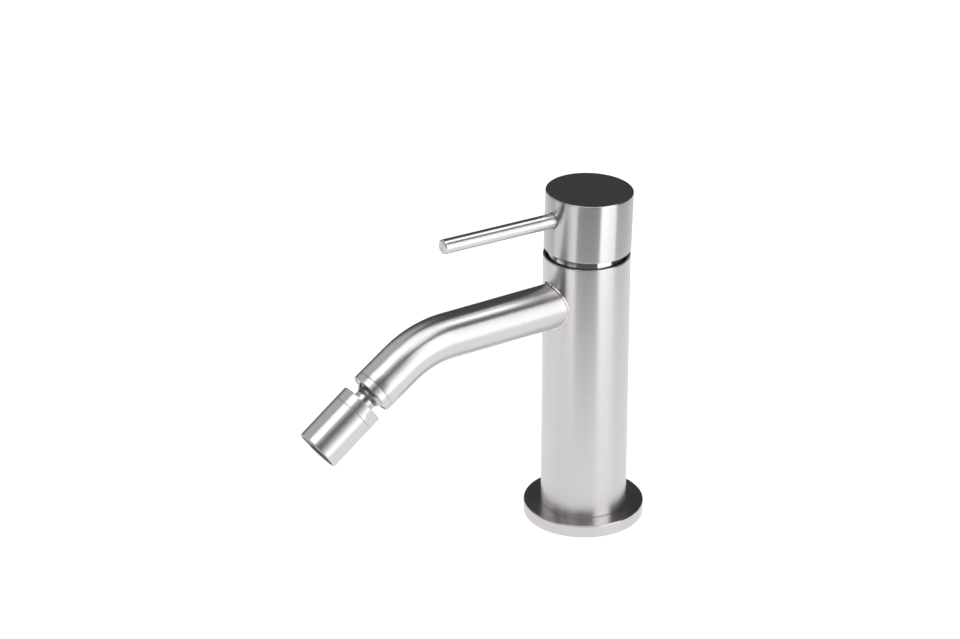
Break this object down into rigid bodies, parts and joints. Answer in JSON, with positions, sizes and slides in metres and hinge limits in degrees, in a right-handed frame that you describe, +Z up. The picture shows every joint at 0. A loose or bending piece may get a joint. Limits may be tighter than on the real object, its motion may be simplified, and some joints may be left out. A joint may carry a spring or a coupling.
{
  "type": "bidet mixer",
  "caption": "Single-lever bidet mixer: round column on a flange, lift-and-turn cap with a rod lever, bent tube spout and a ball-jointed aerator.",
  "frame": {"origin": "centre of the base flange's underside, on the column's axis", "axes": "+Z up along the column, -Y along the spout, +X to the right when facing along +Y"},
  "size_m": [0.059, 0.1869, 0.1729],
  "materials": {
    "brushed_stainless": "brushed satin",
    "polished_stainless": "polished",
    "brass": "machined",
    "plain_steel": "machined",
    "ceramic": "lapped ceramic",
    "white_plastic": "moulded acetal",
    "grey_plastic": "moulded acetal",
    "black_rubber": "moulded rubber"
  },
  "bodies": {
    "column": {"body_column": "brushed_stainless", "base_flange": "brushed_stainless", "base_gasket": "black_rubber", "base_block": "plain_steel", "hot_inlet_tube": "plain_steel", "cold_inlet_tube": "plain_steel", "cartridge_seat": "plain_steel", "seat_o_rings": "black_rubber", "cartridge_base": "grey_plastic", "cartridge_port_seals": "black_rubber", "cartridge_disc_seals": "black_rubber", "cartridge_housing": "white_plastic", "fixed_disc": "ceramic", "cartridge_nut": "brass", "cover_ring": "polished_stainless", "spout_tube": "brushed_stainless", "spout_weld": "polished_stainless", "spout_end_ring": "brushed_stainless", "seat_spring_ring": "black_rubber", "seat_stop_ring": "plain_steel"},
    "stem_turntable": {"stem_carrier": "white_plastic", "stem_pivot_pin": "plain_steel"},
    "handle": {"handle_cap": "brushed_stainless", "lever_rod": "brushed_stainless", "handle_grub_screw": "plain_steel", "cartridge_stem": "brass"},
    "mixing_disc": {"moving_disc": "ceramic", "disc_carrier": "grey_plastic"},
    "swivel_seat": {"ball_seat": "white_plastic"},
    "aerator": {"swivel_ball": "polished_stainless", "aerator_collar": "brushed_stainless", "aerator_gasket": "black_rubber", "aerator_sleeve": "brushed_stainless", "aerator_insert": "grey_plastic", "aerator_grid": "grey_plastic"}
  },
  "joints": [
    {"name": "temperature_turn", "type": "hinge", "parent": "column", "child": "stem_turntable", "pos_m": [0, 0, 0.133], "axis": [0, 0, 1], "range_deg": [-50, 50]},
    {"name": "flow_lift", "type": "hinge", "parent": "stem_turntable", "child": "handle", "pos_m": [0, 0, 0.133], "axis": [-1, 0, 0], "range_deg": [-1.76, 5.74]},
    {"name": "disc_slide", "type": "slide", "parent": "stem_turntable", "child": "mixing_disc", "axis": [0, -1, 0], "range_m": [-0.00029, 0.00092]},
    {"name": "aerator_swing", "type": "hinge", "parent": "column", "child": "swivel_seat", "pos_m": [0, -0.11933, 0.09961], "axis": [0, -0.83, -0.5577], "continuous": true},
    {"name": "aerator_tilt", "type": "hinge", "parent": "swivel_seat", "child": "aerator", "pos_m": [0, -0.11933, 0.09961], "axis": [1, 0, 0], "range_deg": [-22.05, 17.95]}
  ],
  "couplings": [
    {"joint": "disc_slide", "follows": "flow_lift", "m_per_rad": 0.0091}
  ]
}
